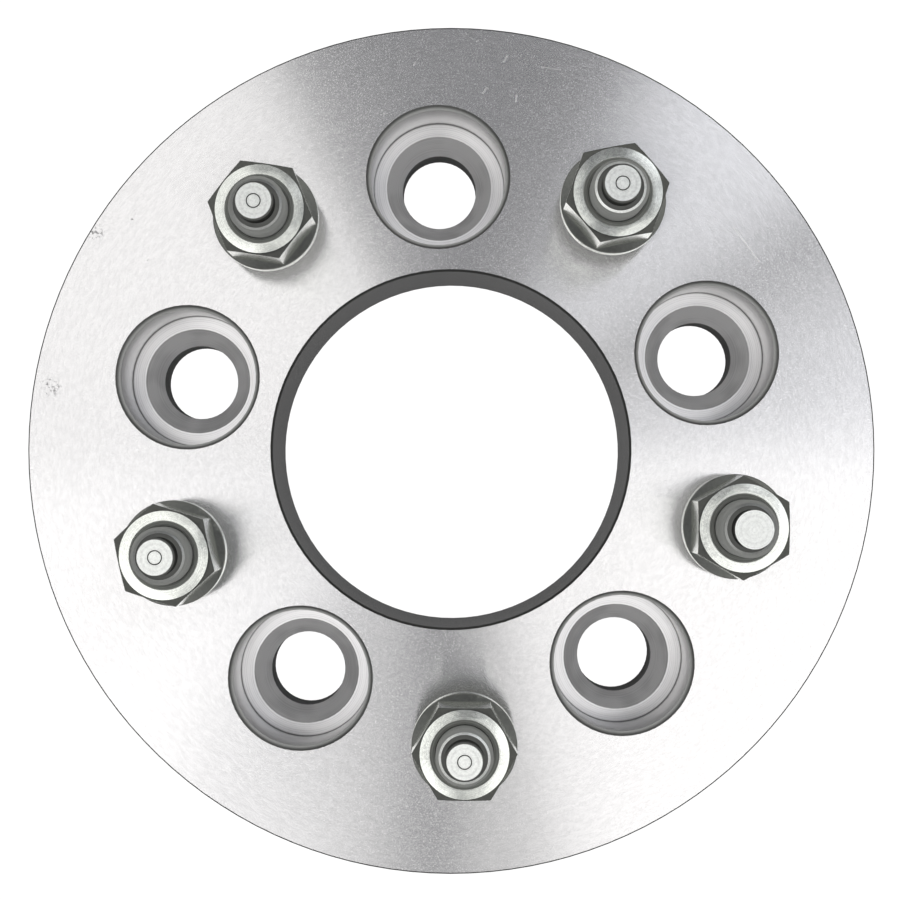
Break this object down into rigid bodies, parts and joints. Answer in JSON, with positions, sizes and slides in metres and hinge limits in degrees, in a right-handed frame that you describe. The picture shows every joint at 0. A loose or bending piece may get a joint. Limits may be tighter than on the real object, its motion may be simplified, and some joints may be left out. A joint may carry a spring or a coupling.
{
  "type": "wheel spacer",
  "caption": "Round aluminium wheel spacer with a centre bore, recessed hub holes with conical seats, and pressed-in wheel studs carrying flanged hex nuts.",
  "frame": {"origin": "on the axis of the centre bore, at the hub face that the plate lies on", "axes": "+Z along the bore axis from the hub face to the wheel face, +Y through a hub hole"},
  "size_m": [0.1868, 0.1868, 0.0695],
  "materials": {
    "plate_aluminium": "turned and brushed",
    "stud_steel": "bright turned",
    "nut_steel": "zinc plated"
  },
  "bodies": {
    "root": {"adapter_plate": "plate_aluminium", "wheel_stud_1": "stud_steel", "wheel_stud_2": "stud_steel", "wheel_stud_3": "stud_steel", "wheel_stud_4": "stud_steel", "wheel_stud_5": "stud_steel", "lug_nut_1": "nut_steel", "lug_nut_2": "nut_steel", "lug_nut_3": "nut_steel", "lug_nut_4": "nut_steel", "lug_nut_5": "nut_steel"}
  },
  "joints": []
}
